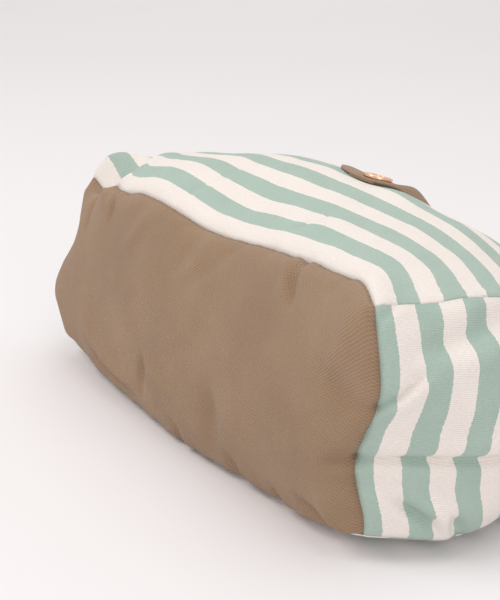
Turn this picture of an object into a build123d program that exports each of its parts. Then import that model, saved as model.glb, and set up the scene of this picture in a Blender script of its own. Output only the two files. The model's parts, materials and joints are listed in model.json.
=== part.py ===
"""A soft canvas laundry bag, filled out and lying on its back panel.

X runs across the bag, +Y runs from its base to its mouth and +Z is up. The origin is the middle of
the back panel, on the floor that the bag lies on. All sizes are in millimetres.

The body is described by stations, planes across the bag from the base seam (t = 0) to the mouth
(t = 1). At each station the section has a flat floor that turns up at its edges, two bulging
sides and a crowned top. Every panel, facing and seam binding is lofted through the same stations,
at its own depth inside the outer skin.
"""

from build123d import *

import math
import os

os.makedirs("parts", exist_ok=True)

# Outer size of the filled bag
base_width = 500.0  # base seam, corner to corner
base_height = 190.0  # base seam, floor to front panel
body_length = 350.0  # back panel, base seam to mouth
mouth_width = 484.0
mouth_height = 66.0  # side of the mouth, floor to front panel
floor_spread = 5.0  # the lower corners stand wider than the upper ones

# How far the filling swells each face
side_swell = 20.0  # widening of the body half way along
shoulder = 14.0  # rise of the upper seams behind the base
seam_crown = 10.0  # rise of the front panel's middle, at the base and at the mouth
front_crown = 30.0  # the same, half way along
base_bulge = 14.0  # bow of the side edges of the base
side_bulge = 32.0  # bow of the gussets, half way along
base_belly = 26.0  # depth of the crowned base panel

# How the bag lies
base_lean = 5.3  # degrees that the base leans back
mouth_lean = 8.0  # degrees that the mouth leans towards the base
base_lift = 12.0  # lower base corners above the floor
mouth_lift = 4.0
floor_roll = 60.0  # width over which the back panel turns up to each side seam

# Cloth
canvas = 2.0
floor_cut = 0.1  # trimmed off under the back panel, to leave it a true flat
facing_cloth = 1.4
seam_gap = 0.3  # between two panels along their seam
layer_gap = 0.4  # between two layers sewn on each other
facing_start = 0.9  # station at which the band inside the mouth begins
binding_width = 10.0
binding_thickness = 2.4

# Hanging tab that closes over the mouth
tab_width = 88.0
tab_shift = 20.0  # of its middle line to the right of the bag's
tab_tip = 168.0  # its end, along the bag from the base seam
tab_corner = 26.0  # radius of the end's two corners
tab_cloth = 1.5
tab_lining_cloth = 1.2
tab_side_gap = 0.3  # between the lining and the outer layer
patch_cloth = 0.8
patch_width = 56.0
patch_length = 46.0
patch_edge_distance = 6.0  # from the patch to the end of the tab
tab_root_gap = 0.8  # at the mouth edge of the back panel
tab_root_height = 5.0

# Two-part eyelet
eyelet_bore_radius = 7.5
eyelet_wall = 0.8
eyelet_flange_radius = 13.5
eyelet_flange_height = 3.0
eyelet_edge_distance = 4.5  # from the flange to the end of the tab
washer_thickness = 0.8
washer_radius = 12.0
rivet_gap = 0.5  # between metal and cloth, and between the two metal parts

# Carry handles, a small one on the front panel lying inside a large one on the back panel
webbing_width = 30.0
webbing_thickness = 3.0
handle_reach = 205.0  # from the mouth edge to the far end of the front handle
handle_spacing = 8.0  # between the tab and the front handle
nest_spacing = 10.0  # between the front handle and the back handle
handle_root_gap = 0.5

spans = 10  # between the stations
stations = [i / spans for i in range(spans + 1)]
base_y = -body_length / 2


def swell(t, skew):
    """Rises from 0 at the base seam to 1 and falls to 0 at the mouth; a small skew peaks early."""
    return math.sin(math.pi * t**skew)


def half_width(t):
    taper = (base_width - mouth_width) / 2
    return base_width / 2 + side_swell * swell(t, 0.8) - taper * t


def height(t):
    return (
        mouth_height
        + (base_height - mouth_height) * (1 - t**4.0)
        + shoulder * swell(t, 0.6) * (1 - t)
    )


def crown(t):
    return seam_crown + (front_crown - seam_crown) * swell(t, 0.9)


def bulge(t):
    full = base_bulge + (side_bulge - base_bulge) * swell(t, 0.75)
    return full * height(t) / base_height


def lift(t):
    return base_lift + (mouth_lift - base_lift) * t


def lean(t):
    return math.radians(base_lean * (1 - t) - mouth_lean * t**4)


def station(t):
    """Plane across the bag: local X is the bag's X, local Y goes up, the normal faces the base."""
    return Plane(
        origin=(0, base_y + body_length * t, 0),
        x_dir=(1, 0, 0),
        z_dir=(0, -math.cos(lean(t)), math.sin(lean(t))),
    )


def slope(t):
    """Direction (Y, Z) in which the front seam line runs at a station."""
    step = 0.002
    ends = []
    for s in (max(t - step, 0), min(t + step, 1)):
        ends.append(Vector(body_length * s + height(s) * math.sin(lean(s)), height(s)))
    return (ends[1] - ends[0]).normalized()


def slant(t):
    """Distance up the station that a cloth of thickness 1 takes on the sloping front."""
    along = slope(t)
    return 1 / (along.X * math.cos(lean(t)) - along.Y * math.sin(lean(t)))


def front_arc(t, depth, trim=0.0):
    """Top of the section at a depth inside the skin, stopping short of the seams by trim."""
    side = half_width(t) - depth - trim
    level = height(t) - depth * slant(t)
    return ThreePointArc((-side, level), (0, level + crown(t)), (side, level))


def gusset_arc(t, depth, trim=0.0):
    """Right side of the section, from the floor up."""
    low = (half_width(t) + floor_spread - depth, lift(t) + depth + trim)
    high = (half_width(t) - depth, height(t) - (depth + trim) * slant(t))
    middle = ((low[0] + high[0]) / 2 + bulge(t), (low[1] + high[1]) / 2)
    return ThreePointArc(low, middle, high)


def floor_half(t, depth, side, trim=0.0, draw=0.0):
    """One upturned edge of the floor, from its flat stretch, drawn in by draw, to the side seam."""
    flat = half_width(t) + floor_spread - floor_roll - draw
    end = half_width(t) + floor_spread - depth - trim
    return TangentArc((side * flat, depth), (side * end, lift(t) + depth), tangent=(side, 0))


def strip(edge, t, outer, inner):
    """Section of a cloth layer between two depths along one edge of the station."""
    with BuildSketch(station(t)) as section:
        with BuildLine():
            skin = edge(t, outer, seam_gap)
            back = edge(t, inner, seam_gap)
            Line(skin @ 0, back @ 0)
            Line(skin @ 1, back @ 1)
        make_face()
    return section.sketch


def floor_strip(t, outer, inner):
    """Section of a cloth layer along the floor."""
    with BuildSketch(station(t)) as section:
        with BuildLine():
            ends = []
            for depth in (outer, inner):
                right = floor_half(t, depth, 1, seam_gap)
                left = floor_half(t, depth, -1, seam_gap)
                Line(left @ 0, right @ 0)
                ends.append((left @ 1, right @ 1))
            Line(ends[0][0], ends[1][0])
            Line(ends[0][1], ends[1][1])
        make_face()
    return section.sketch


def base_loop(plane, inset):
    """The closed outline of the base seam, drawn in by an inset."""
    with BuildSketch(plane) as loop:
        with BuildLine():
            front_arc(0, inset)
            side = gusset_arc(0, inset)
            mirror(side, about=Plane.YZ)
            right = floor_half(0, inset, 1, draw=inset)
            left = floor_half(0, inset, -1, draw=inset)
            Line(left @ 0, right @ 0)
        make_face()
    return loop.sketch


# ---- Five outer panels -------------------------------------------------------------------------

with BuildPart() as front_panel:
    loft([strip(front_arc, t, 0, canvas) for t in stations])

with BuildPart() as right_gusset:
    loft([strip(gusset_arc, t, 0, canvas) for t in stations])

with BuildPart() as left_gusset:
    mirror(right_gusset.part, about=Plane.YZ)

with BuildPart() as back_panel:
    loft([floor_strip(t, -floor_cut, canvas) for t in stations])
    split(bisect_by=Plane.XY, keep=Keep.TOP)

# The base is a crowned cushion face: (distance out, inset) of each ring of its profile
belly_profile = [
    (0.0, 0.0),
    (0.42 * base_belly, 0.35 * base_belly),
    (0.80 * base_belly, 1.35 * base_belly),
    (1.00 * base_belly, 3.00 * base_belly),
]
with BuildPart() as base_panel:
    loft([base_loop(station(0).offset(seam_gap + out), inset) for out, inset in belly_profile])
    loft(
        [
            base_loop(station(0).offset(seam_gap + out - canvas), inset + canvas)
            for out, inset in belly_profile
        ],
        mode=Mode.SUBTRACT,
    )

# ---- Facings inside the mouth ------------------------------------------------------------------

facing_edge = station(facing_start)
facing_outer = canvas + layer_gap
facing_inner = facing_outer + facing_cloth

with BuildPart() as front_facing:
    loft([strip(front_arc, t, facing_outer, facing_inner) for t in stations])
    split(bisect_by=facing_edge, keep=Keep.BOTTOM)

with BuildPart() as right_facing:
    loft([strip(gusset_arc, t, facing_outer, facing_inner) for t in stations])
    split(bisect_by=facing_edge, keep=Keep.BOTTOM)

with BuildPart() as left_facing:
    mirror(right_facing.part, about=Plane.YZ)

with BuildPart() as back_facing:
    loft([floor_strip(t, facing_outer, facing_inner) for t in stations])
    split(bisect_by=facing_edge, keep=Keep.BOTTOM)

# ---- Bindings over the seam allowances, inside the bag -----------------------------------------

# Distance from a seam to the middle of the binding that stands in its corner
binding_centre = (canvas + layer_gap) * math.sqrt(2) + layer_gap + binding_width / 2
binding_start = station(0).offset(-binding_width - 2 * layer_gap)
binding_end = facing_edge.offset(2 * layer_gap)

with BuildPart() as base_seam_binding:
    inset = canvas + 2 * layer_gap
    with BuildSketch(station(0).offset(-layer_gap)):
        add(base_loop(Plane.XY, inset))
        add(base_loop(Plane.XY, inset + binding_thickness), mode=Mode.SUBTRACT)
    extrude(amount=binding_width, dir=(0, 1, 0))


def corner_binding(corner, diagonal):
    """A band along a corner seam: corner(t) is the seam, diagonal the way into the bag."""
    step = binding_centre / math.sqrt(2)
    sections = []
    for t in stations:
        x, y = corner(t)
        with BuildSketch(station(t)) as section:
            with Locations((x - step, y + step * diagonal * slant(t))):
                Rectangle(binding_width, binding_thickness, rotation=-45 * diagonal)
        sections.append(section.sketch)
    with BuildPart() as binding:
        loft(sections)
        split(bisect_by=binding_start, keep=Keep.BOTTOM)
        split(bisect_by=binding_end, keep=Keep.TOP)
    return binding


front_right_binding = corner_binding(lambda t: (half_width(t), height(t)), -1)
back_right_binding = corner_binding(lambda t: (half_width(t) + floor_spread, lift(t)), 1)

with BuildPart() as front_left_binding:
    mirror(front_right_binding.part, about=Plane.YZ)

with BuildPart() as back_left_binding:
    mirror(back_right_binding.part, about=Plane.YZ)

# ---- Hanging tab -------------------------------------------------------------------------------


def ridge(t, out):
    """Point (Y, Z) on the middle line of the front panel, raised off it by out."""

    def middle(s):
        rise = height(s) + crown(s)
        y = base_y + body_length * s + rise * math.sin(lean(s))
        return Vector(y, rise * math.cos(lean(s)))

    step = 0.002
    along = (middle(min(t + step, 1)) - middle(t - step)).normalized()
    return middle(t) + Vector(-along.Y, along.X) * out


def mouth_point(rise, out):
    """Point (Y, Z) at a height up the leaning mouth, moved out of it by out."""
    angle = lean(1)
    y = base_y + body_length + rise * math.sin(angle) + out * math.cos(angle)
    return Vector(y, rise * math.cos(angle) - out * math.sin(angle))


def station_of(y):
    """The station at which the middle line of the front panel reaches y."""
    low, high = 0.01, 1.0
    for _ in range(40):
        guess = (low + high) / 2
        if ridge(guess, 0).X < y:
            low = guess
        else:
            high = guess
    return low


tip_y = base_y + tab_tip
eyelet_y = tip_y + eyelet_edge_distance + eyelet_flange_radius
eyelet_t = station_of(eyelet_y)

# Heights above the front panel, from the patch under the tab to the top of the tab
patch_base = layer_gap
patch_top = patch_base + patch_cloth
washer_base = patch_top + layer_gap
lining_base = washer_base + washer_thickness + rivet_gap
lining_top = lining_base + tab_lining_cloth
tab_base = lining_top + tab_side_gap
tab_top = tab_base + tab_cloth


def tab_curve(height_at_eyelet):
    """The tab's middle line at a height above the panel, easing down to the mouth edge."""
    start = station_of(tip_y) - 0.03
    root_height = height_at_eyelet - lining_base + tab_root_gap
    points = []
    for i in range(spans + 1):
        share = i / spans
        out = height_at_eyelet + (root_height - height_at_eyelet) * max(0, share - 0.4) / 0.6
        points.append(ridge(start + (1 - start) * share, out))
    points.append(mouth_point(mouth_height / 2, root_height))
    points.append(mouth_point(tab_root_height, root_height))
    return Spline(*[(p.X, p.Y) for p in points])


def tab_layer(low, high):
    """One cloth layer of the tab, with its rounded end and its eyelet hole."""
    with BuildPart() as layer:
        with BuildSketch(tab_middle):
            with BuildLine():
                under = tab_curve(low)
                over = tab_curve(high)
                Line(under @ 0, over @ 0)
                Line(under @ 1, over @ 1)
            make_face()
        extrude(amount=tab_width / 2, both=True)
        with BuildSketch(Plane.XY):
            with Locations((tab_shift, tip_y + body_length / 2)):
                RectangleRounded(tab_width, body_length, tab_corner)
        extrude(amount=2 * base_height, mode=Mode.INTERSECT)
        with BuildSketch(eyelet_plane):
            Circle(eyelet_bore_radius + eyelet_wall + rivet_gap)
        extrude(amount=2 * tab_top, both=True, mode=Mode.SUBTRACT)
    return layer


tab_middle = Plane.YZ.offset(tab_shift)
eyelet_foot = ridge(eyelet_t, 0)
eyelet_up = ridge(eyelet_t, 1) - eyelet_foot
eyelet_plane = Plane(
    origin=(tab_shift, eyelet_foot.X, eyelet_foot.Y),
    x_dir=(1, 0, 0),
    z_dir=(0, eyelet_up.X, eyelet_up.Y),
)

tab_outer = tab_layer(tab_base, tab_top)
tab_lining = tab_layer(lining_base, lining_top)

with BuildPart() as tab_patch:
    with BuildSketch(tab_middle):
        with BuildLine():
            spread = [eyelet_t + step * 0.07 for step in (-1, 0, 1, 2, 3)]
            under = Spline(*[(p.X, p.Y) for p in (ridge(t, patch_base) for t in spread)])
            over = Spline(*[(p.X, p.Y) for p in (ridge(t, patch_top) for t in spread)])
            Line(under @ 0, over @ 0)
            Line(under @ 1, over @ 1)
        make_face()
    extrude(amount=patch_width / 2, both=True)
    with BuildSketch(Plane.XY):
        with Locations((tab_shift, tip_y + patch_edge_distance + patch_length / 2)):
            RectangleRounded(patch_width, patch_length, patch_length / 4)
    extrude(amount=2 * base_height, mode=Mode.INTERSECT)

# ---- Eyelet: a flanged barrel clinched over a washer -------------------------------------------

barrel_radius = eyelet_bore_radius + eyelet_wall
flange_base = tab_top + rivet_gap
barrel_foot = washer_base
flange_crest = flange_base + eyelet_flange_height
crest_radius = (eyelet_bore_radius + eyelet_flange_radius) / 2 - eyelet_wall

with BuildPart() as eyelet:
    with BuildSketch(Plane(eyelet_plane.origin, eyelet_plane.x_dir, eyelet_plane.y_dir * -1)):
        with BuildLine():
            Line((eyelet_bore_radius, barrel_foot), (barrel_radius, barrel_foot))
            Line((barrel_radius, barrel_foot), (barrel_radius, flange_base))
            Line((barrel_radius, flange_base), (eyelet_flange_radius, flange_base))
            brim = Line(
                (eyelet_flange_radius, flange_base),
                (eyelet_flange_radius, flange_base + eyelet_wall),
            )
            throat = (eyelet_bore_radius, flange_crest - eyelet_wall)
            Spline(brim @ 1, (crest_radius, flange_crest), throat, tangents=((0, 1), (0, -1)))
            Line(throat, (eyelet_bore_radius, barrel_foot))
        make_face()
    revolve(axis=Axis(eyelet_plane.origin, eyelet_plane.z_dir))

with BuildPart() as eyelet_washer:
    with BuildSketch(eyelet_plane.offset(washer_base)):
        Circle(washer_radius)
        Circle(barrel_radius + rivet_gap, mode=Mode.SUBTRACT)
    extrude(amount=washer_thickness)
    chamfer(eyelet_washer.edges().filter_by(GeomType.CIRCLE).sort_by(SortBy.RADIUS)[-1], 0.3)

# ---- Carry handles -----------------------------------------------------------------------------

front_handle_inner = tab_width / 2 + abs(tab_shift) + handle_spacing
front_handle_outer = front_handle_inner + webbing_width
back_handle_inner = front_handle_outer + nest_spacing
back_handle_outer = back_handle_inner + webbing_width

root_out = handle_root_gap + webbing_thickness / 2
back_root = mouth_point(webbing_thickness / 2 / math.cos(lean(1)), 0) + Vector(root_out, 0)
front_root = mouth_point(mouth_height + seam_crown - canvas * slant(1) / 2, root_out)


def loop_handle(root, inner, outer, reach, droop):
    """A flat webbing loop: root (Y, Z) is the centre of its round ends, droop its slope in radians."""
    along = (0, math.cos(droop), -math.sin(droop))
    up = (0, math.sin(droop), math.cos(droop))
    sheet = Plane(origin=(0, root.X, root.Y), x_dir=(1, 0, 0), z_dir=up)
    foot = -webbing_thickness / 2
    straight = reach - outer
    with BuildPart() as handle:
        with BuildSketch(sheet):
            for size, mode in ((outer, Mode.ADD), (inner, Mode.SUBTRACT)):
                with BuildLine():
                    Line((size, foot), (size, straight))
                    CenterArc((0, straight), size, 0, 180)
                    Line((-size, straight), (-size, foot))
                    Line((-size, foot), (size, foot))
                make_face(mode=mode)
        extrude(amount=webbing_thickness / 2, both=True)
        ends = handle.edges().filter_by(Axis.X).sort_by(Axis((0, root.X, root.Y), along))[0:4]
        fillet(ends, webbing_thickness / 2 - 0.05)
    return handle


front_droop = math.asin((front_root.Y - webbing_thickness / 2 - layer_gap) / handle_reach)
front_end = front_root.X + handle_reach * math.cos(front_droop)
back_reach = front_end + webbing_width + nest_spacing - back_root.X

front_handle = loop_handle(
    front_root, front_handle_inner, front_handle_outer, handle_reach, front_droop
)
back_handle = loop_handle(back_root, back_handle_inner, back_handle_outer, back_reach, 0)

# ---- Write every piece -------------------------------------------------------------------------

pieces = {
    "base_panel": base_panel,
    "front_panel": front_panel,
    "back_panel": back_panel,
    "left_gusset": left_gusset,
    "right_gusset": right_gusset,
    "front_facing": front_facing,
    "back_facing": back_facing,
    "left_facing": left_facing,
    "right_facing": right_facing,
    "base_seam_binding": base_seam_binding,
    "front_left_binding": front_left_binding,
    "front_right_binding": front_right_binding,
    "back_left_binding": back_left_binding,
    "back_right_binding": back_right_binding,
    "tab_outer": tab_outer,
    "tab_lining": tab_lining,
    "tab_patch": tab_patch,
    "eyelet": eyelet,
    "eyelet_washer": eyelet_washer,
    "front_handle": front_handle,
    "back_handle": back_handle,
}
for name, piece in pieces.items():
    piece.part.label = name
    export_step(piece.part, f"parts/{name}.step")
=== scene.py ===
import json
import math

import bmesh
import bpy
import numpy as np
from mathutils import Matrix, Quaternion, Vector


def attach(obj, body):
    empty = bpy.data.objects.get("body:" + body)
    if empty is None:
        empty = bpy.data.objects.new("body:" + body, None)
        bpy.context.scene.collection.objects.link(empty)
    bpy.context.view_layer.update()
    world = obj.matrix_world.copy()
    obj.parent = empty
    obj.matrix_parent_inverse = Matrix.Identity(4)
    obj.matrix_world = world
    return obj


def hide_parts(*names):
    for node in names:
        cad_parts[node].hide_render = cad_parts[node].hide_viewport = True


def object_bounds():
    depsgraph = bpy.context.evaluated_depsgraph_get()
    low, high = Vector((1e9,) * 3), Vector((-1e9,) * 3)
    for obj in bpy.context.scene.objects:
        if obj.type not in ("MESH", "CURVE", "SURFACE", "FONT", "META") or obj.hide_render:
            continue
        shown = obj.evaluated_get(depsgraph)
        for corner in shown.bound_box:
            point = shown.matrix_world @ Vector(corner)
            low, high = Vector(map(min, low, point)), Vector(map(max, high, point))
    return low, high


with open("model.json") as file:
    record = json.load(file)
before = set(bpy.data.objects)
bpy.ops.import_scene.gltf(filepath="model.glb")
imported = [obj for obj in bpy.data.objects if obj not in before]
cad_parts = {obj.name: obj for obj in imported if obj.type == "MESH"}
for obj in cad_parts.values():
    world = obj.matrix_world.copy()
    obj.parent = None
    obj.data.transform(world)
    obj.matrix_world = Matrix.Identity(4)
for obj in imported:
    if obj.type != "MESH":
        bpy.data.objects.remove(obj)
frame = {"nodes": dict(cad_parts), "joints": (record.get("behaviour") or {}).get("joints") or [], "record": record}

cad_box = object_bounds()

# ------------------------------------------------------------------------------------------------
# The bag's form, in millimetres, by the same stations as the solids
# ------------------------------------------------------------------------------------------------
base_width, base_height, body_length = 500.0, 190.0, 350.0
mouth_width, mouth_height, floor_spread = 484.0, 66.0, 5.0
side_swell, shoulder, seam_crown, front_crown = 20.0, 14.0, 10.0, 30.0
base_bulge, side_bulge = 14.0, 32.0
base_belly, belly_reach = 26.0, 84.0
base_lean, mouth_lean, base_lift, mouth_lift, floor_roll = 5.3, 8.0, 12.0, 4.0, 60.0
base_y = -body_length / 2
stripe = 20.0

# Along the bag, t runs from 0 at the base seam to 1 at the mouth. Across the front, the base and the
# back, u runs from -1 at the left to 1 at the right. Up the gussets and the base, v runs from 0 to 1.


def swell(t, skew):
    """0 at both ends and 1 between them; a skew under 1 moves the fullest place to the base."""
    return np.sin(np.pi * np.clip(t, 0, 1) ** skew)


def half_width(t):
    return base_width / 2 + side_swell * swell(t, 0.8) - (base_width - mouth_width) / 2 * t


def height(t):
    return (
        mouth_height
        + (base_height - mouth_height) * (1 - t**4.0)
        + shoulder * swell(t, 0.6) * (1 - t)
    )


def crown(t):
    return seam_crown + (front_crown - seam_crown) * swell(t, 0.9)


def bulge(t):
    return (base_bulge + (side_bulge - base_bulge) * swell(t, 0.75)) * height(t) / base_height


def lift(t):
    return base_lift + (mouth_lift - base_lift) * t


def lean(t):
    return np.radians(base_lean * (1 - t) - mouth_lean * t**4)


def place(t, x, rise):
    """Points from a station t, a distance x across and a rise up the station's plane."""
    return np.stack(
        [x, base_y + body_length * t + rise * np.sin(lean(t)), rise * np.cos(lean(t))], axis=-1
    )


def front_skin(t, u):
    return place(t, half_width(t) * u, height(t) + crown(t) * (1 - u**2))


def gusset_skin(t, v, side):
    """The right gusset for side 1, the left one for side -1."""
    low_x, low_y = half_width(t) + floor_spread, lift(t)
    x = low_x - floor_spread * v + bulge(t) * 4 * v * (1 - v)
    return place(t, side * x, low_y + (height(t) - low_y) * v)


def floor_skin(t, u):
    """The back panel: flat on the floor, rolled up a little towards its corner seams."""
    reach = half_width(t) + floor_spread
    turned = np.clip((np.abs(u) * reach - (reach - floor_roll)) / floor_roll, 0, 1)
    return place(t, reach * u, lift(t) * turned**2)


def base_skin(u, v):
    """The base: a patch between its four seams, crowned out from them."""
    zero, one = np.zeros_like(u), np.ones_like(u)
    low, high = floor_skin(zero, u), front_skin(zero, u)
    left, right = gusset_skin(zero, v, -1), gusset_skin(zero, v, 1)
    low_left, low_right = floor_skin(zero, -one), floor_skin(zero, one)
    high_left, high_right = front_skin(zero, -one), front_skin(zero, one)
    a, b = ((u + 1) / 2)[..., None], v[..., None]
    patch = (
        low * (1 - b) + high * b + left * (1 - a) + right * a
        - low_left * (1 - a) * (1 - b) - low_right * a * (1 - b)
        - high_left * (1 - a) * b - high_right * a * b
    )
    across = np.maximum((1 - np.abs(u)) * base_width / 2, 1e-6)
    up = np.maximum(np.minimum(v, 1 - v) * (base_height - base_lift), 1e-6)
    # the distance to the nearest seam, rounded where two seams are equally near
    from_seam = 1 / (1 / across**4 + 1 / up**4) ** 0.25
    share = np.clip(from_seam / belly_reach, 0, 1)
    out = base_belly * np.sqrt(1 - (1 - share) ** 2)
    tilt = math.radians(base_lean)
    patch[..., 1] -= out * math.cos(tilt)
    patch[..., 2] += out * math.sin(tilt)
    return patch


# ------------------------------------------------------------------------------------------------
# Soft detail: fields of position, so that panels stay joined along their seams
# ------------------------------------------------------------------------------------------------
lattice_size = 32
lattice = np.random.RandomState(7).uniform(-1, 1, (lattice_size,) * 3)


def noise(points, size, shift=0.0):
    """Smooth value noise from -1 to 1 with cells of a size in millimetres."""
    q = points / size + shift + 100.0
    cell = np.floor(q).astype(int)
    f = q - cell
    f = f * f * f * (f * (f * 6 - 15) + 10)
    total = 0
    for corner in np.ndindex(2, 2, 2):
        i, j, k = np.moveaxis((cell + corner) % lattice_size, -1, 0)
        weight = np.where(corner, f, 1 - f).prod(axis=-1)
        total = total + lattice[i, j, k] * weight
    return total


def ease(x):
    """0 below 0 and 1 above 1, with a smooth step between them."""
    x = np.clip(x, 0, 1)
    return x * x * (3 - 2 * x)


# A box well inside the filled bag
core_low, core_high = np.array([-185.0, -115.0, 70.0]), np.array([185.0, 90.0, 105.0])


def inward(points):
    """Unit vectors into the bag: towards the nearest point of the box inside it."""
    way = np.clip(points, core_low, core_high) - points
    return way / np.maximum(np.linalg.norm(way, axis=-1, keepdims=True), 1e-6)


def near_line(points, line):
    """Distance to a polyline and the share of its length at the nearest point."""
    line = np.array(line)
    lengths = np.linalg.norm(np.diff(line, axis=0), axis=1)
    total, done = lengths.sum(), 0.0
    best, where = np.full(points.shape[:-1], np.inf), np.zeros(points.shape[:-1])
    for a, b, length in zip(line[:-1], line[1:], lengths):
        along = np.clip(((points - a) @ (b - a)) / length**2, 0, 1)
        gap = np.linalg.norm(points - (a + along[..., None] * (b - a)), axis=-1)
        nearer = gap < best
        best = np.where(nearer, gap, best)
        where = np.where(nearer, (done + along * length) / total, where)
        done += length
    return best, where


def at_front(t, u):
    return front_skin(np.array(t), np.array(u))


def at_right(t, v):
    return gusset_skin(np.array(t), np.array(v), 1)


def at_left(t, v):
    return gusset_skin(np.array(t), np.array(v), -1)


def at_base(u, v):
    return base_skin(np.array(u), np.array(v))


# How the filling pushes the smooth skin about: (middle, reach, push in X, Y and Z). A push is full at
# its middle and has faded to about a third at its reach.
slumps = [
    # the upper left corner is pulled back
    (at_front(0.15, -0.98), 80, (7, 13, 0)),
    (at_front(0.10, -1.00), 40, (0, 5, 2)),
    (at_front(0.10, -0.88), 40, (4, 10, 4)),
    (at_left(0.15, 0.80), 80, (6, 10, 0)),
    # the left gusset stands up as an ear behind that corner, where the seams meet lower
    (at_front(0.00, -1.00), 25, (0, 0, -24)),
    (at_front(0.00, -0.75), 50, (0, 0, -5)),
    (at_left(0.00, 0.88), 20, (-13, 0, 11)),
    (at_left(0.05, 0.82), 25, (-4, -2, 31)),
    (at_left(0.14, 0.84), 30, (-2, 0, 18)),
    # the front is full again beside the ear
    (at_front(0.12, -0.70), 40, (0, 0, 4)),
    (at_front(0.10, -0.42), 45, (0, 0, 8)),
    # below the ear the left side stands out, towards the base too
    (at_left(0.00, 0.33), 40, (-9, -9, 0)),
    (at_left(0.00, 0.05), 80, (-6, -9, 5)),
    # the base's lower seam comes forward from the middle to the left, and is drawn in near its ends
    (at_base(-0.85, 0.08), 40, (4, 7, 0)),
    (at_base(-0.45, 0.00), 60, (0, -5, 0)),
    (at_base(0.00, 0.00), 80, (0, -6, 0)),
    (at_base(0.60, 0.00), 60, (0, 7, 0)),
    # the base's upper seam has gone back right of the middle, and stands high on the right
    (at_front(0.00, 0.20), 80, (-2, 9, -4)),
    (at_front(0.00, 0.60), 80, (0, 8, 11)),
    (at_front(0.00, 0.98), 80, (4, 0, 9)),
    # behind that seam the front has shifted too, and dips in the middle
    (at_front(0.15, -0.60), 80, (0, -7, 3)),
    (at_front(0.15, 0.20), 80, (2, 9, -3)),
    (at_front(0.15, 0.60), 80, (5, 8, -5)),
    (at_front(0.13, -0.03), 45, (0, 0, -8)),
    (at_front(0.09, 0.36), 30, (0, 0, 3)),
    # the filling has moved to the left half of the front
    (at_front(0.45, -0.20), 80, (-8, 0, 8)),
    (at_front(0.60, -0.20), 80, (-8, 2, 0)),
    (at_front(0.60, 0.20), 80, (-6, 2, -6)),
    (at_front(0.75, 0.20), 80, (-3, 4, 0)),
    # a crest stands right of the tab's end, and the front falls away behind it
    (at_front(0.55, 0.48), 55, (0, 0, 6)),
    (at_front(0.49, 0.26), 30, (0, 0, 8)),
    (at_front(0.76, 0.20), 50, (0, 0, -16)),
    # towards the mouth the filling has run out of the right side
    (at_front(0.60, 0.98), 80, (-4, -4, -11)),
    (at_front(0.75, 0.60), 80, (6, 3, -7)),
    # the right base corner is blunt and the seam behind it falls steeply
    (at_front(0.00, 1.00), 40, (5, -8, 6)),
    (at_front(0.00, 0.88), 40, (3, 7, 5)),
    (at_front(0.10, 1.00), 40, (-4, -7, -8)),
    # the right side is full above and pinched in at the base seam below
    (at_right(0.00, 0.78), 40, (10, -3, -2)),
    (at_right(0.00, 0.64), 30, (7, 0, 0)),
    (at_right(0.18, 0.75), 60, (8, 0, 0)),
    (at_right(0.00, 0.50), 80, (-9, 0, 4)),
    (at_right(0.00, 0.30), 40, (-10, -3, 0)),
    # its lower edge is drawn back at the base, and bulges out over the floor
    (at_right(0.00, 0.05), 80, (-6, 7, 8)),
    (at_right(0.00, 0.00), 35, (8, 3, 3)),
    (at_right(0.16, 0.03), 50, (13, 0, 0)),
    (at_right(0.20, 0.05), 80, (8, 0, -5)),
    (at_right(0.40, 0.05), 80, (3, 0, 8)),
]


def settle(points):
    """Points of the smooth skin moved by the slumps, and kept above the floor."""
    result = points.copy()
    for middle, reach, push in slumps:
        gap = np.linalg.norm(points - middle, axis=-1)
        result += np.exp(-((gap / reach) ** 2))[..., None] * np.array(push)
    result[..., 2] = np.maximum(result[..., 2], 0.0)
    return result


def settled(at, *spots):
    """A line on the settled skin through spots given in the skin's own two coordinates."""
    return [settle(at(*spot)) for spot in spots]


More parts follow.
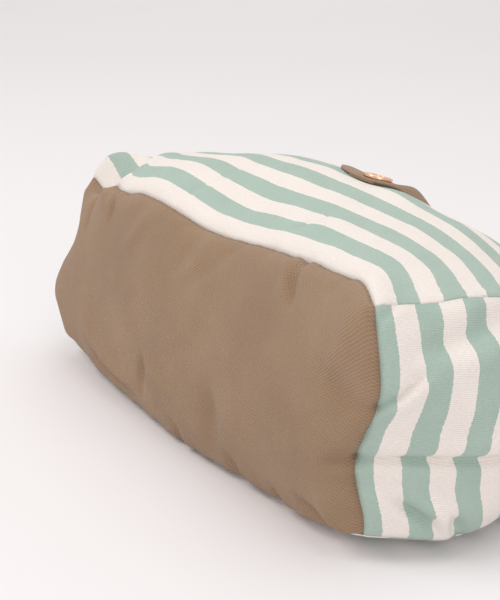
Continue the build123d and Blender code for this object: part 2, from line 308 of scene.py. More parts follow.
# Folds: (depth in, width, line); a negative depth is a ridge
folds = [
    # base: the groove at the upper seam with a ridge to its left
    (7.0, 5, settled(at_base, (0.54, 1.00), (0.56, 0.93), (0.60, 0.86))),
    (-4.5, 7, settled(at_base, (0.48, 0.98), (0.52, 0.92), (0.55, 0.84))),
    # base: gathers at the upper left corner
    (5.0, 4, settled(at_base, (-0.68, 0.98), (-0.63, 0.93), (-0.60, 0.87))),
    (-4.5, 5, settled(at_base, (-0.86, 0.98), (-0.76, 0.95), (-0.70, 0.90))),
    (5.0, 5, settled(at_base, (-0.87, 0.93), (-0.84, 0.86), (-0.80, 0.76))),
    # base: soft slanting folds under the upper seam
    (2.5, 7, settled(at_base, (-0.02, 0.96), (-0.05, 0.88), (-0.07, 0.80))),
    (-2.5, 8, settled(at_base, (0.05, 0.95), (0.03, 0.85), (-0.02, 0.76))),
    (2.5, 8, settled(at_base, (0.18, 0.96), (0.12, 0.86), (0.02, 0.76))),
    (-2.5, 8, settled(at_base, (-0.30, 0.95), (-0.34, 0.86), (-0.40, 0.78))),
    # base: the roll along the lower left edge
    (-6.0, 9, settled(at_base, (-0.68, 0.32), (-0.58, 0.22), (-0.46, 0.17), (-0.30, 0.15))),
    (5.0, 7, settled(at_base, (-0.70, 0.18), (-0.56, 0.11), (-0.42, 0.10), (-0.30, 0.08))),
    # base: the crease where that roll ends, and a ridge that leads on from it
    (5.0, 6, settled(at_base, (-0.18, 0.32), (-0.19, 0.24), (-0.21, 0.14))),
    (-4.5, 7, settled(at_base, (-0.15, 0.32), (-0.06, 0.28), (0.02, 0.24))),
    # base: the hollow above the lower seam, right of its middle, and the seam's own notches
    (7.0, 13, settled(at_base, (0.27, 0.38), (0.28, 0.28), (0.28, 0.16))),
    (5.0, 7, settled(at_base, (0.36, 0.10), (0.40, 0.02))),
    (4.5, 6, settled(at_base, (0.03, 0.09), (0.06, 0.01))),
    (4.5, 6, settled(at_base, (0.60, 0.08), (0.63, 0.01))),
    # base: the right side is pinched in, with a full roll above and a notch below
    (-4.5, 10, settled(at_base, (0.86, 0.92), (0.91, 0.82), (0.87, 0.73))),
    (8.0, 10, settled(at_base, (0.86, 0.69), (0.93, 0.65), (1.00, 0.61))),
    (6.0, 6, settled(at_base, (0.93, 0.32), (1.00, 0.36))),
    # base: a ridge and a groove at the lower right corner
    (-4.5, 7, settled(at_base, (0.90, 0.20), (0.92, 0.10), (0.95, 0.03))),
    (6.0, 6, settled(at_base, (0.78, 0.10), (0.84, 0.07), (0.90, 0.02))),
    # right side: the fold that slants down from the upper edge
    (7.0, 9, settled(at_right, (0.08, 0.83), (0.13, 0.85), (0.20, 0.88), (0.30, 0.93), (0.42, 0.98))),
    (-3.5, 11, settled(at_right, (0.13, 0.74), (0.22, 0.78), (0.32, 0.83))),
    # right side: the fold that starts at the pinch
    (6.0, 4, settled(at_right, (0.00, 0.63), (0.02, 0.65), (0.05, 0.69), (0.08, 0.74))),
    (-6.0, 7, settled(at_right, (0.00, 0.57), (0.03, 0.60), (0.06, 0.65), (0.10, 0.70))),
    # right side: the sharp level fold across the lower half
    (8.0, 3.5, settled(at_right, (0.00, 0.355), (0.06, 0.365), (0.14, 0.38), (0.26, 0.37), (0.40, 0.38))),
    (-4.5, 9, settled(at_right, (0.00, 0.42), (0.06, 0.43), (0.14, 0.44), (0.26, 0.43), (0.40, 0.44))),
    (-2.0, 8, settled(at_right, (0.00, 0.29), (0.06, 0.30), (0.14, 0.31), (0.26, 0.30), (0.40, 0.31))),
    # right side: tucks at the lower seam
    (10.0, 5, settled(at_right, (0.07, 0.17), (0.10, 0.13), (0.13, 0.10), (0.15, 0.05))),
    (10.0, 6, settled(at_right, (0.18, 0.12), (0.20, 0.07), (0.22, 0.02))),
    (-4.5, 8, settled(at_right, (0.11, 0.18), (0.14, 0.14), (0.17, 0.10))),
    # right side: the short crease at the upper base corner
    (3.5, 4, settled(at_right, (0.00, 0.95), (0.02, 0.96), (0.05, 0.99))),
    # front: the valley behind the ear, along the left seam
    (13.0, 11, settled(at_front, (0.00, -1.00), (0.12, -1.00), (0.26, -1.00))),
    # front: thin creases
    (1.3, 3, settled(at_front, (0.03, -0.23), (0.12, -0.23), (0.24, -0.25))),
    (1.3, 3, settled(at_front, (0.06, 0.28), (0.09, 0.31), (0.20, 0.29))),
]

# Small unevenness: (depth, size of its waves, shift of the noise)
ripples = [(2.0, 85.0, 0.0), (1.5, 42.0, 5.3), (0.5, 19.0, 1.9)]
# The hemmed mouth is stiffer: there the unevenness drops to a share of it, over a distance
mouth_share, mouth_reach = 0.2, 70.0


def crease(points):
    """Folds, hollows and small unevenness, for points of the settled skin."""
    depth = sum(deep * noise(points, size, shift) for deep, size, shift in ripples)
    from_mouth = body_length / 2 - points[..., 1]
    depth = depth * (mouth_share + (1 - mouth_share) * ease(from_mouth / mouth_reach))
    for deep, wide, line in folds:
        gap, where = near_line(points, line)
        # a fold fades out towards both ends
        fade = np.sin(np.pi * (0.08 + 0.84 * where)) ** 0.6
        depth = depth + deep * np.exp(-((gap / wide) ** 2)) * fade
    result = points + inward(points) * depth[..., None]
    result[..., 2] = np.maximum(result[..., 2], 0.0)
    return result


def arcs(points):
    """Length of cloth from the first row, down each column."""
    steps = np.linalg.norm(np.diff(points, axis=0), axis=2)
    return np.concatenate([np.zeros((1, points.shape[1])), np.cumsum(steps, axis=0)])


def run_along(line):
    """Length of a line from its first point to each of its points."""
    return arcs(line[:, None])[:, 0]


# A seam lies in a narrow valley, with gathers that fade out from it
seam_depth, seam_width = 2.4, 4.0
gather_depth, gather_reach, gather_size = 1.3, 14.0, 13.0


def seam_dip(gap, points):
    """Depth in at a distance from a seam."""
    gathers = gather_depth * np.exp(-gap / gather_reach) * noise(points, gather_size, 2.2)
    return seam_depth * np.exp(-((gap / seam_width) ** 2)) + gathers


def normals(points):
    """Unit normals of a grid of points."""
    normal = np.cross(np.gradient(points, axis=1), np.gradient(points, axis=0))
    return normal / np.maximum(np.linalg.norm(normal, axis=-1, keepdims=True), 1e-9)


def panel_points(skin, seam_gap, depth=0.0):
    """A panel of the bag from its smooth skin: settled, creased and drawn in at its seams."""
    points = settle(skin)
    points = crease(points) + inward(points) * seam_dip(seam_gap, points)[..., None]
    return points - normals(points) * depth


def cloth_faces(rows, columns, keep, loop):
    """Faces of a grid with two sides, walled round its rim and round each hole."""
    n = rows * columns
    index = np.arange(n).reshape(rows, columns)
    a, b = index[:-1, :-1][keep], index[:-1, 1:][keep]
    c, d = index[1:, 1:][keep], index[1:, :-1][keep]
    faces = [np.stack([a, b, c, d], 1), np.stack([a + n, d + n, c + n, b + n], 1)]
    # a wall stands between a cell that is there and one that isn't: shift leads to the cell beyond,
    # and the wall runs from corner p of the cell to its corner q
    there = np.pad(keep, 1)
    if loop:
        there[0], there[-1] = there[-2], there[1]
    for shift, (p, q) in (
        ((-1, 0), ((0, 1), (0, 0))), ((0, -1), ((0, 0), (1, 0))),
        ((1, 0), ((1, 0), (1, 1))), ((0, 1), ((1, 1), (0, 1))),
    ):
        beyond = there[1 + shift[0]:rows + shift[0], 1 + shift[1]:columns + shift[1]]
        i, j = np.nonzero(keep & ~beyond)
        start, end = index[i + p[0], j + p[1]], index[i + q[0], j + q[1]]
        faces.append(np.stack([start, end, end + n, start + n], 1))
    return np.concatenate(faces)


def cloth_mesh(name, points, cut, thickness, keep, loop):
    """The mesh of a cloth piece, whose flat cut is kept in metres as its UV map."""
    wrapped = np.concatenate([points[-2:-1], points, points[1:2]]) if loop else points
    way = normals(wrapped)[1:-1] if loop else normals(points)
    inner = points - way * thickness
    vertices = np.concatenate([points.reshape(-1, 3), inner.reshape(-1, 3)]) / 1000
    vertices[:, 2] = np.maximum(vertices[:, 2], 0.0)
    used, faces = np.unique(cloth_faces(*points.shape[:2], keep, loop), return_inverse=True)
    mesh = bpy.data.meshes.new(name)
    mesh.from_pydata(vertices[used].tolist(), [], faces.reshape(-1, 4).tolist())
    layer = mesh.uv_layers.new(name="Cut")
    flat = np.concatenate([cut.reshape(-1, 2), cut.reshape(-1, 2)])[used] / 1000
    corner = np.empty(len(mesh.loops), dtype=np.int32)
    mesh.loops.foreach_get("vertex_index", corner)
    layer.data.foreach_set("uv", flat[corner].ravel().astype(np.float32))
    mesh.polygons.foreach_set("use_smooth", np.ones(len(mesh.polygons), dtype=bool))
    if loop:
        weld = bmesh.new()
        weld.from_mesh(mesh)
        bmesh.ops.remove_doubles(weld, verts=weld.verts, dist=1e-6)
        weld.to_mesh(mesh)
        weld.free()
    mesh.update()
    return mesh


def build(name, points, cut, cloth, node, body="bag", held=None, keep=None, loop=False):
    """A closed cloth piece from a grid of points (mm) with its flat cut coordinates (mm).

    cloth is its thickness, material and slot. keep says which cells of the grid are there, for a
    piece with a hole; a loop closes on itself down the rows. For a piece that is held in some way,
    the size and area of its flat cut are worked out.
    """
    thickness, material, slot = cloth
    if keep is None:
        keep = np.ones((points.shape[0] - 1, points.shape[1] - 1), bool)
    piece = bpy.data.objects.new(name, cloth_mesh(name, points, cut, thickness, keep, loop))
    bpy.context.scene.collection.objects.link(piece)
    piece.data.materials.append(material)
    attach(piece, body)
    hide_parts(node)
    if held:
        size = (cut.reshape(-1, 2).max(0) - cut.reshape(-1, 2).min(0)) / 1000
        # each cell's area from its two diagonals
        e, f = cut[1:, 1:] - cut[:-1, :-1], cut[1:, :-1] - cut[:-1, 1:]
        area = np.abs(e[..., 0] * f[..., 1] - e[..., 1] * f[..., 0])[keep].sum() / 2e6
        area = min(area, size[0] * size[1])


# ------------------------------------------------------------------------------------------------
# Materials
# ------------------------------------------------------------------------------------------------


def linear(*srgb):
    """A screen colour, 0 to 255 in each channel, as linear light."""
    values = []
    for s in srgb:
        c = s / 255
        values.append(c / 12.92 if c <= 0.04045 else ((c + 0.055) / 1.055) ** 2.4)
    return (*values, 1.0)


class Graph:
    """Short calls for building one material's node graph."""

    def __init__(self, name, roughness):
        self.material = bpy.data.materials.new(name)
        self.material.use_nodes = True
        self.tree = self.material.node_tree
        self.shader = self.tree.nodes["Principled BSDF"]
        self.shader.inputs["Roughness"].default_value = roughness

    def node(self, kind, **settings):
        made = self.tree.nodes.new(kind)
        for key, value in settings.items():
            setattr(made, key, value)
        return made

    def link(self, source, target):
        self.tree.links.new(source, target)

    def math(self, operation, a, b=None, c=None):
        made = self.node("ShaderNodeMath", operation=operation)
        for socket, value in zip(made.inputs, (a, b, c)):
            if value is None:
                continue
            if isinstance(value, (int, float)):
                socket.default_value = value
            else:
                self.link(value, socket)
        return made.outputs[0]

    def mix(self, factor, a, b, blend="MIX"):
        made = self.node("ShaderNodeMix", data_type="RGBA", blend_type=blend)
        for socket, value in ((made.inputs[0], factor), (made.inputs[6], a), (made.inputs[7], b)):
            if isinstance(value, (int, float, tuple)):
                socket.default_value = value
            else:
                self.link(value, socket)
        return made.outputs[2]

    def cut(self):
        uv = self.node("ShaderNodeUVMap", uv_map="Cut")
        parts = self.node("ShaderNodeSeparateXYZ")
        self.link(uv.outputs[0], parts.inputs[0])
        return uv.outputs[0], parts.outputs[0], parts.outputs[1]

    def noise(self, vector, scale, detail=2.0, stretch=None):
        if stretch:
            moved = self.node("ShaderNodeMapping")
            moved.inputs["Scale"].default_value = stretch
            self.link(vector, moved.inputs[0])
            vector = moved.outputs[0]
        made = self.node("ShaderNodeTexNoise")
        made.inputs["Scale"].default_value = scale
        made.inputs["Detail"].default_value = detail
        self.link(vector, made.inputs["Vector"])
        return made.outputs[0]

    def bump(self, value, strength, distance):
        made = self.node("ShaderNodeBump")
        made.inputs["Strength"].default_value = strength
        made.inputs["Distance"].default_value = distance
        self.link(value, made.inputs["Height"])
        self.link(made.outputs[0], self.shader.inputs["Normal"])

    def weave(self, x, y, pitch):
        """Plain weave: 0 in the gaps to 1 on the crossings."""
        a = self.math("SINE", self.math("MULTIPLY", x, math.pi / pitch))
        b = self.math("SINE", self.math("MULTIPLY", y, math.pi / pitch))
        return self.math("MULTIPLY_ADD", self.math("MULTIPLY", a, b), 0.5, 0.5)

    def paint(self, colour, shade, sheen, spread):
        """A colour darkened by a painted shade, with the sheen of cloth."""
        grey = self.node("ShaderNodeCombineColor")
        for socket in grey.inputs:
            self.link(shade, socket)
        shaded = self.mix(1.0, colour, grey.outputs[0], "MULTIPLY")
        self.link(shaded, self.shader.inputs["Base Color"])
        self.shader.inputs["Sheen Weight"].default_value = sheen
        self.shader.inputs["Sheen Roughness"].default_value = spread


def striped_cloth(name, first_green=False, offset=0.0):
    """Ribbed canvas with stripes every 20 mm along the cut's second coordinate, in metres."""
    g = Graph(name, 0.88)
    uv, x, y = g.cut()
    rib, weave_pitch = 0.0016, 0.0011
    # the stripes' edges step from rib to rib and drift a little
    row = g.math("FLOOR", g.math("DIVIDE", x, rib))
    wobble = g.node("ShaderNodeTexWhiteNoise", noise_dimensions="1D")
    g.link(row, wobble.inputs["W"])
    ragged = g.math("MULTIPLY", g.math("SUBTRACT", wobble.outputs[0], 0.5), 0.0006)
    drift = g.math("MULTIPLY", g.math("SUBTRACT", g.noise(uv, 14.0, 1.0), 0.5), 0.0009)
    along = g.math("ADD", g.math("ADD", g.math("ADD", y, ragged), drift), offset)
    phase = g.math("MODULO", g.math("ADD", g.math("DIVIDE", along, 2 * stripe / 1000), 4.0), 1.0)
    green = g.math("LESS_THAN" if first_green else "GREATER_THAN", phase, 0.5)
    mottled = g.noise(uv, 38.0, 4.0)
    white = g.mix(mottled, linear(236, 227, 220), linear(243, 235, 229))
    mint = g.mix(mottled, linear(163, 183, 172), linear(177, 196, 185))
    ribs = g.math("ABSOLUTE", g.math("SINE", g.math("MULTIPLY", x, math.pi / rib)))
    weave = g.weave(x, y, weave_pitch)
    threads = g.math("ADD", g.math("MULTIPLY", ribs, 0.7), g.math("MULTIPLY", weave, 0.3))
    fine = g.noise(uv, 900.0, 2.0, stretch=(1.0, 0.35, 1.0))
    # painted shade: the colour is darker in the grooves between ribs and in the weave's gaps, and lighter on the
    # ribs
    shade = g.math("MULTIPLY_ADD", g.math("MULTIPLY", threads, fine), 0.34, 0.87)
    g.paint(g.mix(green, white, mint), shade, 0.1, 0.6)
    g.bump(g.math("ADD", threads, g.math("MULTIPLY", fine, 0.5)), 0.5, 0.0005)
    return g.material


def plain_cloth(name, dark, light, pitch, depth=0.0006):
    """Canvas of one colour in a plain weave, with painted shade in its gaps, patchy in strength; its pitch and
    depth are in metres.
    """
    g = Graph(name, 0.9)
    uv, x, y = g.cut()
    weave = g.weave(x, y, pitch)
    thread = g.noise(uv, 700.0, 2.0)
    colour = g.mix(g.noise(uv, 22.0, 3.0), dark, light)
    # painted shade: the colour is darker in the weave's gaps and lighter on its crossings, more so in some patches
    # than in others
    shade_patches = g.math("MULTIPLY_ADD", g.noise(uv, 9.0, 2.0), 1.3, -0.1)
    threads = g.math("MULTIPLY", g.math("MULTIPLY", weave, shade_patches), g.math("ADD", thread, 0.5))
    g.paint(colour, g.math("MULTIPLY_ADD", threads, 0.52, 0.79), 0.12, 0.5)
    g.bump(g.math("ADD", weave, g.math("MULTIPLY", thread, 0.4)), 0.8, depth)
    return g.material


def rose_metal():
    """Polished rose-gold metal, rubbed a little."""
    g = Graph("rose_gold", 0.22)
    spot = g.node("ShaderNodeTexCoord")
    rub = g.noise(spot.outputs["Object"], 420.0, 3.0)
    g.link(g.mix(rub, linear(226, 178, 146), linear(240, 198, 168)), g.shader.inputs["Base Color"])
    g.shader.inputs["Metallic"].default_value = 1.0
    g.bump(rub, 0.08, 0.0002)
    return g.material


brown_canvas = plain_cloth("brown_canvas", linear(150, 121, 95), linear(165, 136, 109), 0.0016)
cream_cotton = plain_cloth("cream_cotton", linear(226, 217, 204), linear(236, 228, 217), 0.0008, 0.0003)
cotton_tape = plain_cloth("cotton_tape", linear(205, 192, 174), linear(216, 204, 187), 0.0009, 0.0003)
brown_webbing = plain_cloth("brown_webbing", linear(138, 113, 88), linear(152, 127, 101), 0.0016, 0.0007)

# Each cloth: its thickness in millimetres, its material and its slot
panel_thick, patch_thick, webbing_thick = 2.0, 0.8, 3.0
front_cloth = (panel_thick, striped_cloth("front_stripes"), "striped_canvas")
right_cloth = (panel_thick, striped_cloth("right_stripes", True, 0.0065), "striped_canvas")
left_cloth = (panel_thick, striped_cloth("left_stripes"), "striped_canvas")
back_cloth = (panel_thick, striped_cloth("back_stripes"), "striped_canvas")
base_cloth = (panel_thick, brown_canvas, "brown_canvas")
patch_cloth = (patch_thick, brown_canvas, "brown_canvas")
facing_cloth = (1.4, cream_cotton, "lining_cloth")
tape_cloth = (1.6, cotton_tape, "seam_tape")
web_cloth = (webbing_thick, brown_webbing, "webbing")

# ------------------------------------------------------------------------------------------------
# Panels
# ------------------------------------------------------------------------------------------------


def grid(first, last, rows, start, end, columns):
    """Two arrays: the one runs from first to last down the rows, the other from start to end across."""
    t = np.linspace(first, last, rows)[:, None] * np.ones((1, columns))
    u = np.linspace(start, end, columns)[None, :] * np.ones((rows, 1))
    return t, u


# Each panel from a first station to the mouth: its smooth skin, the distance to its nearest seam and
# its flat cut. The gusset on the right and the back are turned round, so that their normals point out.


def front_grid(first, rows, columns):
    t, u = grid(first, 1, rows, -1, 1, columns)
    skin = front_skin(t, u)
    gap = np.minimum(half_width(t) * (1 - np.abs(u)), body_length * t)
    cut = np.stack([half_width(t) * u, arcs(settle(skin)) + body_length * first], -1)
    return skin, gap, cut


def gusset_grid(first, rows, columns, side):
    t, v = grid(first, 1, rows, 0, 1, columns)
    skin = gusset_skin(t, v, side)
    gap = np.minimum((height(t) - lift(t)) * np.minimum(v, 1 - v), body_length * t)
    # across by its own arcs, and along the body only: the upper edge's fall is in the first already
    across = arcs(settle(skin).swapaxes(0, 1)).T
    cut = np.stack([across, arcs(settle(skin) * [1, 1, 0]) + body_length * first], -1)
    if side > 0:
        return skin[:, ::-1], gap[:, ::-1], cut[:, ::-1]
    return skin, gap, cut


def floor_grid(first, rows, columns):
    t, u = grid(first, 1, rows, -1, 1, columns)
    skin = floor_skin(t, u)
    reach = half_width(t) + floor_spread
    gap = np.minimum(reach * (1 - np.abs(u)), body_length * t)
    cut = np.stack([reach * u, arcs(skin) + body_length * first], -1)
    return skin[:, ::-1], gap[:, ::-1], cut[:, ::-1]


skin, gap, cut = front_grid(0, 131, 181)
build("front_cloth", panel_points(skin, gap), cut, front_cloth, "front_panel", held="stretched")
for side, name, cloth in ((1, "right", right_cloth), (-1, "left", left_cloth)):
    skin, gap, cut = gusset_grid(0, 131, 91, side)
    build(f"{name}_cloth", panel_points(skin, gap), cut, cloth, f"{name}_gusset", held="stretched")
skin, gap, cut = floor_grid(0, 101, 141)
build("back_cloth", panel_points(skin, gap), cut, back_cloth, "back_panel", held="stretched")

v, u = grid(0, 1, 91, -1, 1, 201)
skin = base_skin(u, v)
gap = np.minimum((1 - np.abs(u)) * base_width / 2, np.minimum(v, 1 - v) * (base_height - base_lift))
# the flat cloth is as long and as high as the crowned base's middle lines
base_long = run_along(settle(skin[len(v) // 2]))[-1]
base_high = run_along(settle(skin[:, u.shape[1] // 2]))[-1]
cut = np.stack([base_long / 2 * u, base_high * v], -1)
build("base_cloth", panel_points(skin, gap), cut, base_cloth, "base_panel", held="stretched")

# Facings inside the mouth
hem_start, hem_rows, layer_gap = 0.9, 15, 0.3
for name, (skin, gap, cut) in (
    ("front", front_grid(hem_start, hem_rows, 121)),
    ("right", gusset_grid(hem_start, hem_rows, 41, 1)),
    ("left", gusset_grid(hem_start, hem_rows, 41, -1)),
    ("back", floor_grid(hem_start, hem_rows, 121)),
):
    points = panel_points(skin, gap, panel_thick + layer_gap)
    build(
        f"{name}_hem", points, cut, facing_cloth, f"{name}_facing",
        held="folded",
    )

# ------------------------------------------------------------------------------------------------
# Tapes over the seam allowances inside the bag
# ------------------------------------------------------------------------------------------------
tape_width, tape_columns = 10.0, 5
tape_share = np.linspace(-0.5, 0.5, tape_columns)


def band_cut(line, share, width):
    """Flat coordinates of a band, by its middle line and the shares of its width across it."""
    return np.stack([width * share + 0 * line[:, :1], run_along(line)[:, None] + 0 * share], -1)


def corner_tape(corner, seam):
    """A tape that stands in a corner seam, pointing into the bag."""
    line = crease(settle(seam))
    way = inward(line)
    middle = line + way * (panel_thick * 1.5 + layer_gap + tape_width / 2)
    points = middle[:, None] + way[:, None] * (tape_width * tape_share)[:, None]
    cut = band_cut(middle, tape_share, tape_width)
    build(f"{corner}_tape", points, cut, tape_cloth, f"{corner}_binding")


t = np.linspace(0.06, hem_start - 0.02, 80)
for side, name in ((1, "right"), (-1, "left")):
    corner_tape(f"front_{name}", front_skin(t, side + 0 * t))
    corner_tape(f"back_{name}", gusset_skin(t, 0 * t, side))


def ring(y):
    """Points all the way round the bag at a distance y behind the base seam."""
    edge = np.linspace(-1, 1, 90)[:-1]
    rise = (edge + 1) / 2
    t = y / body_length + 0 * edge
    return np.concatenate([
        floor_skin(t, edge), gusset_skin(t, rise, 1), front_skin(t, -edge), gusset_skin(t, 1 - rise, -1),
    ])


# The base seam's tape lies under the panels, and deeper where the ear leaves no room for it
tape_depth, tape_start = 5.2, panel_thick + 1
ear, ear_depth, ear_reach = settle(at_left(0.02, 0.88)), 32.0, 45.0
rings = [ring(tape_start + y) for y in np.linspace(0, tape_width, tape_columns)]
points = crease(settle(np.stack(rings, 1)))
way = inward(points)
way[..., 1] = 0
way /= np.linalg.norm(way, axis=-1, keepdims=True)
near_ear = np.exp(-((np.linalg.norm(points - ear, axis=-1, keepdims=True) / ear_reach) ** 2))
points += way * (tape_depth + ear_depth * near_ear)
points = np.concatenate([points, points[:1]])
cut = band_cut(points[:, tape_columns // 2], tape_share, tape_width)
build("base_seam_tape", points, cut, tape_cloth, "base_seam_binding", loop=True)

# ------------------------------------------------------------------------------------------------
# Tab that hangs over the front, round its eyelet
# ------------------------------------------------------------------------------------------------
tab_width, tab_shift, tab_tip, tab_corner = 88.0, 20.0, 168.0, 26.0
# Heights of its two layers above the smooth front, and how much the lining is smaller
lining_low, lining_high, outer_low, outer_high, lining_inset = 2.9, 4.2, 4.35, 6.1, 1.2
root_gap, root_height = 0.8, 5.0
# It lies sunk into the front, arches up beside its eyelet, droops at its right edge and curls
tab_sink, tab_curl, curl_reach, tab_sway, sway_size = 2.2, 1.0, 30.0, 0.4, 31.0
tab_arch, arch_across, arch_run, arch_reach = 15.0, 20.0, 42.0, 24.0
tab_droop, droop_run, droop_fade = 8.0, 150.0, 60.0
# Round its eyelet it keeps to the solid out to a radius, and then less and less over a fade
eyelet_flat, eyelet_fade, eyelet_hole = 16.0, 34.0, 9.2
mounts = {mount["name"]: mount for mount in frame["record"]["mounts"]}
eyelet_xy = np.array(mounts["eyelet"]["pos_m"][:2]) * 1000


def front_middle(t):
    """Points (Y, Z) on the middle line of the smooth front."""
    return place(t, 0 * t, height(t) + crown(t))[..., 1:]


def front_raised(t, out):
    """The front's middle line raised off the front by out."""
    step = 0.002
    along = front_middle(np.minimum(t + step, 1)) - front_middle(t - step)
    along /= np.linalg.norm(along, axis=-1, keepdims=True)
    return front_middle(t) + np.stack([-along[..., 1], along[..., 0]], -1) * out[..., None]


def station_at(y):
    """The station whose middle line passes over y."""
    stations = np.linspace(0.01, 1, 400)
    return np.interp(y, front_middle(stations)[:, 0], stations)


def mouth_point(rise, out):
    """A point (Y, Z) in front of the mouth's plane, at a rise up it."""
    angle = lean(1.0)
    y = base_y + body_length + rise * math.sin(angle) + out * math.cos(angle)
    return np.array([y, rise * math.cos(angle) - out * math.sin(angle)])


def smooth_line(points, count):
    """A Catmull-Rom line through the points, cut into even steps, and the run to each of them."""
    ends = np.concatenate([[2 * points[0] - points[1]], points, [2 * points[-1] - points[-2]]])
    f = np.linspace(0, 1, 24, endpoint=False)[:, None]
    line = []
    for p, q, r, s in zip(ends, ends[1:], ends[2:], ends[3:]):
        square = (2 * p - 5 * q + 4 * r - s) * f**2
        cube = (3 * q - p - 3 * r + s) * f**3
        line.append(0.5 * (2 * q + (r - p) * f + square + cube))
    line = np.concatenate([*line, points[-1:]])
    run = run_along(line)
    even = np.linspace(0, run[-1], count)
    return np.stack([np.interp(even, run, column) for column in line.T], -1), even


def tab_line(out, rows):
    """The tab's middle line (Y, Z), from its free end over the front and down to its root."""
    first = station_at(base_y + tab_tip)
    share = np.linspace(0, 1, 12)
    # towards the mouth the layers come down onto the panel
    root_out = out - lining_low + root_gap
    outs = out + (root_out - out) * np.clip(share - 0.4, 0, 1) / 0.6
    root_rises = (0.62 * mouth_height, 0.3 * mouth_height, root_height)
    path = np.concatenate([
        front_raised(first + (1 - first) * share, outs),
        [mouth_point(rise, root_out) for rise in root_rises],
    ])
    return smooth_line(path, rows)


def tab_points(out, inset, rows=150, columns=61):
    """A layer of the tab at a height above the front, following the slumped panel."""
    line, run = tab_line(out, rows)
    # its free end has two round corners
    corner = np.clip(tab_corner - np.maximum(run, inset) + inset, 0, tab_corner - inset)
    half = tab_width / 2 - tab_corner + np.sqrt(np.maximum((tab_corner - inset) ** 2 - corner**2, 0))
    across = half[:, None] * np.linspace(-1, 1, columns)
    run = run[:, None] + 0 * across
    x = tab_shift + across
    points = np.stack([x, line[:, :1] + 0 * x, line[:, 1:] + 0 * x], -1)
    # the cloth follows the slumped front, but lies true under its eyelet and beyond the mouth's edge
    t = station_at(line[:, 0])[:, None] + 0 * x
    slump = crease(settle(front_skin(t, x / half_width(t)))) - place(t, x, height(t) + crown(t))
    off_eyelet = np.linalg.norm(points[..., :2] - eyelet_xy, axis=-1)
    loose = ease((off_eyelet - eyelet_flat) / eyelet_fade)
    on_front = 1 - ease((np.arange(rows)[:, None] / rows - 0.62) / 0.25)
    points += slump * (loose * on_front)[..., None]
    points[..., 2] -= tab_sink * loose * on_front
    # its free end curls a little, up at the right and down at the left
    curl = tab_curl * loose * np.exp(-((run / curl_reach) ** 2)) * across / tab_width
    sway = tab_sway * noise(points, sway_size, 8.1) * loose
    # right of the eyelet it arches up from the falling front, and its right edge bends down
    from_arch = ((across - arch_across) / arch_reach) ** 2 + ((run - arch_run) / arch_reach) ** 2
    arch = tab_arch * np.exp(-from_arch)
    right = np.maximum(across / (tab_width / 2), 0)
    bend = tab_droop * right**6 * ease((droop_run - run) / droop_fade)
    points[..., 2] += curl + sway + loose * (arch - bend)
    return points, np.stack([across, run], -1)


def ring_hole(points, radius):
    """Cells of the grid outside the eyelet's hole, whose rim points are drawn onto its circle."""
    flat = points[..., :2] - eyelet_xy
    gap = np.linalg.norm(flat, axis=-1)
    cell = (gap[:-1, :-1] + gap[1:, :-1] + gap[:-1, 1:] + gap[1:, 1:]) / 4
    keep = cell > radius
    kept = np.zeros(gap.shape, bool)
    gone = np.zeros(gap.shape, bool)
    for i in (0, 1):
        for j in (0, 1):
            kept[i:i + keep.shape[0], j:j + keep.shape[1]] |= keep
            gone[i:i + keep.shape[0], j:j + keep.shape[1]] |= ~keep
    rim = kept & gone
    points[rim, :2] = eyelet_xy + flat[rim] * (radius / gap[rim])[:, None]
    return keep


for name, low, high, inset, node in (
    ("tab_cloth", outer_low, outer_high, 0.0, "tab_outer"),
    ("tab_underside", lining_low, lining_high, lining_inset, "tab_lining"),
):
    points, cut = tab_points(high, inset)
    keep = ring_hole(points, eyelet_hole)
    layer = (high - low, brown_canvas, "brown_canvas")
    build(name, points, cut, layer, node, "tab", "draped", keep)

# Patch sewn on the front under the tab's end
patch_width, patch_length, patch_start, patch_gap = 56.0, 46.0, 6.0, 0.2
patch_y = base_y + tab_tip + patch_start
first, last = station_at(patch_y), station_at(patch_y + patch_length)
t, x = grid(first, last, 30, -patch_width / 2, patch_width / 2, 36)
corner = patch_length / 4
run = (t - first) / (last - first) * patch_length
inside = np.clip(corner - np.minimum(run, patch_length - run), 0, corner)
x *= 1 - (corner - np.sqrt(corner**2 - inside**2)) / (patch_width / 2)
skin = front_skin(t, (x + tab_shift) / half_width(t))
far_from_seams = 1e3 + 0 * t
points = panel_points(skin, far_from_seams, -patch_gap - patch_thick)
cut = np.stack([x, arcs(points)], -1)
build("tab_rest_patch", points, cut, patch_cloth, "tab_patch", held="laid")

# ------------------------------------------------------------------------------------------------
# Carry handles
# ------------------------------------------------------------------------------------------------
webbing_width, handle_reach, handle_spacing, nest_spacing, floor_gap = 30.0, 205.0, 8.0, 10.0, 0.4
handle_sag, handle_wave, selvedge_round = 2.4, 0.7, 0.5


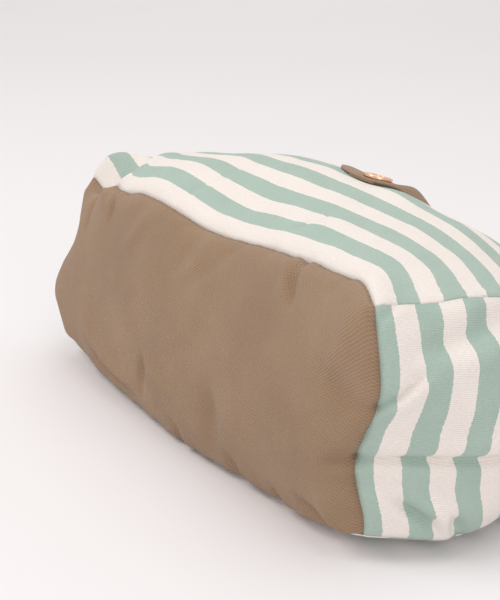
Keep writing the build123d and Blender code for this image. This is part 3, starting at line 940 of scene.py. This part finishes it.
def loop_handle(name, root, inner, reach, droop, sag, wave, body, node):
    """A webbing loop: root (Y, Z) is the middle of its ends, droop the slope that it lies at."""
    middle = inner + webbing_width / 2
    straight = reach - inner - webbing_width
    turn = np.linspace(0, np.pi, 60)
    leg = np.linspace(-webbing_thick / 2, straight, 40)[:-1]
    line = np.concatenate([
        np.stack([middle + 0 * leg, leg], -1),
        np.stack([middle * np.cos(turn), straight + middle * np.sin(turn)], -1),
        np.stack([-middle - 0 * leg, leg[::-1]], -1),
    ])
    out = np.concatenate([
        np.stack([1 + 0 * leg, 0 * leg], -1),
        np.stack([np.cos(turn), np.sin(turn)], -1),
        np.stack([-1 - 0 * leg, 0 * leg], -1),
    ])
    share = np.linspace(-0.5, 0.5, 13)
    flat = line[:, None] + out[:, None] * webbing_width * share[:, None]
    x, y = flat[..., 0], flat[..., 1]
    # the webbing sags between its sewn ends and the floor, and is not quite flat
    sagging = sag * np.sin(np.pi * np.clip(y / reach, 0, 1)) ** 2
    free = ease(y / 40) * ease((reach - y) / 30 + 0.4)
    waving = wave * noise(np.stack([x, y, 0 * x], -1), 60.0, 3.7) * free
    # its selvedges are rounded
    above = webbing_thick / 2 - sagging + waving - selvedge_round * (2 * np.abs(share)) ** 8
    points = np.stack([
        x,
        root[0] + y * math.cos(droop) + above * math.sin(droop),
        root[1] - y * math.sin(droop) + above * math.cos(droop),
    ], -1)
    points[..., 2] = np.maximum(points[..., 2], webbing_thick)
    build(name, points, band_cut(line, share, webbing_width), web_cloth, node, body)


hinges = {joint["name"]: np.array(joint["pos_m"][1:]) * 1000 for joint in frame["joints"]}
front_hinge, back_hinge = hinges["front_handle_fold"], hinges["back_handle_fold"]
front_inner = tab_width / 2 + tab_shift + handle_spacing
front_droop = math.asin((front_hinge[1] - webbing_thick / 2 - floor_gap) / handle_reach)
front_end = front_hinge[0] + handle_reach * math.cos(front_droop)
back_inner = front_inner + webbing_width + nest_spacing
back_reach = front_end + webbing_width + nest_spacing - back_hinge[0]
loop_handle(
    "front_webbing", front_hinge, front_inner, handle_reach, front_droop, handle_sag, handle_wave,
    "front_loop", "front_handle",
)
loop_handle(
    "back_webbing", back_hinge, back_inner, back_reach, 0.0, 0.0, 0.0, "back_loop", "back_handle",
)

# The eyelet and its washer are shown as the solids are, in metal
metal = rose_metal()
for node in ("eyelet", "eyelet_washer"):
    made = frame["nodes"][node]
    made.data.materials.clear()
    made.data.materials.append(metal)

# ------------------------------------------------------------------------------------------------
# Stage, light and camera, in metres
# ------------------------------------------------------------------------------------------------


def make_floor():
    half, below = 9, 0.0005
    corners = [(-half, -half, 0), (half, -half, 0), (half, half, 0), (-half, half, 0)]
    mesh = bpy.data.meshes.new("floor")
    mesh.from_pydata(corners, [], [(0, 1, 2, 3)])
    floor = bpy.data.objects.new("floor", mesh)
    floor.location.z = cad_box[0][2] - below
    bpy.context.scene.collection.objects.link(floor)
    g = Graph("floor_paint", 0.95)
    spot = g.node("ShaderNodeTexCoord")
    grain = g.noise(spot.outputs["Object"], 3.0, 2.0)
    g.link(g.mix(grain, linear(240, 237, 239), linear(242, 239, 241)), g.shader.inputs["Base Color"])
    floor.data.materials.append(g.material)


def make_world():
    """Soft light from all round. The camera, metal and glass see the plain room's colour instead."""
    world = bpy.data.worlds.new("studio")
    bpy.context.scene.world = world
    world.use_nodes = True
    nodes, links = world.node_tree.nodes, world.node_tree.links
    sky = nodes["Background"]
    sky.inputs["Color"].default_value = (1.0, 0.985, 0.97, 1.0)
    sky.inputs["Strength"].default_value = 0.65
    room = nodes.new("ShaderNodeBackground")
    room.inputs["Color"].default_value = linear(239, 235, 232)
    rays = nodes.new("ShaderNodeLightPath")
    seen = rays.outputs["Is Camera Ray"]
    for kind in ("Is Glossy Ray", "Is Transmission Ray"):
        either = nodes.new("ShaderNodeMath")
        either.operation = "MAXIMUM"
        links.new(seen, either.inputs[0])
        links.new(rays.outputs[kind], either.inputs[1])
        seen = either.outputs[0]
    blend = nodes.new("ShaderNodeMixShader")
    links.new(seen, blend.inputs[0])
    links.new(sky.outputs[0], blend.inputs[1])
    links.new(room.outputs[0], blend.inputs[2])
    links.new(blend.outputs[0], nodes["World Output"].inputs["Surface"])


def lamp(name, position, target, size, power, colour):
    """A round soft lamp at a position, turned to its target."""
    data = bpy.data.lights.new(name, "AREA")
    data.shape = "DISK"
    data.size = size
    data.energy = power
    data.color = colour
    made = bpy.data.objects.new(name, data)
    made.location = position
    way = Vector(target) - Vector(position)
    made.rotation_euler = way.to_track_quat("-Z", "Y").to_euler()
    bpy.context.scene.collection.objects.link(made)


make_floor()
make_world()
lamp("key", (-0.7, -1.9, 2.7), (0, 0, 0.1), 1.8, 30, (1.0, 0.985, 0.965))
lamp("top", (0.4, 0.5, 3.0), (0, 0, 0.1), 2.5, 16, (1.0, 0.99, 0.98))
lamp("fill", (2.6, -1.0, 1.5), (0, 0, 0.1), 2.0, 16, (1.0, 0.97, 0.96))
lamp("far", (-4.0, 2.3, 3.2), (-4.0, 2.3, 0), 3.0, 24, (1.0, 0.97, 0.93))

# The camera sees the base from the bag's right front; its aim and distance are in millimetres
azimuth, elevation, roll = math.radians(59.63), math.radians(19.14), math.radians(0.17)
aim_height, aim_right, aim_up, distance = 94.34, 55.8, 36.5, 1152.6
sensor_width, focal_share = 36, 2.6
view_back = Vector((
    math.sin(azimuth) * math.cos(elevation),
    -math.cos(azimuth) * math.cos(elevation),
    math.sin(elevation),
))
view_right = Vector((math.cos(azimuth), math.sin(azimuth), 0))
view_up = view_back.cross(view_right)
aim = Vector((0, base_y, aim_height)) + view_right * aim_right + view_up * aim_up
camera_data = bpy.data.cameras.new("camera")
camera = bpy.data.objects.new("camera", camera_data)
bpy.context.scene.collection.objects.link(camera)
camera.location = (aim + view_back * distance) / 1000
camera.rotation_euler = (view_back.to_track_quat("Z", "Y") @ Quaternion((0, 0, 1), roll)).to_euler()
camera_data.sensor_fit = "HORIZONTAL"
camera_data.sensor_width = sensor_width
camera_data.lens = focal_share * sensor_width
camera_data.clip_start = 0.05
camera_data.clip_end = 60
bpy.context.scene.camera = camera

bpy.context.scene.view_settings.view_transform = "Standard"
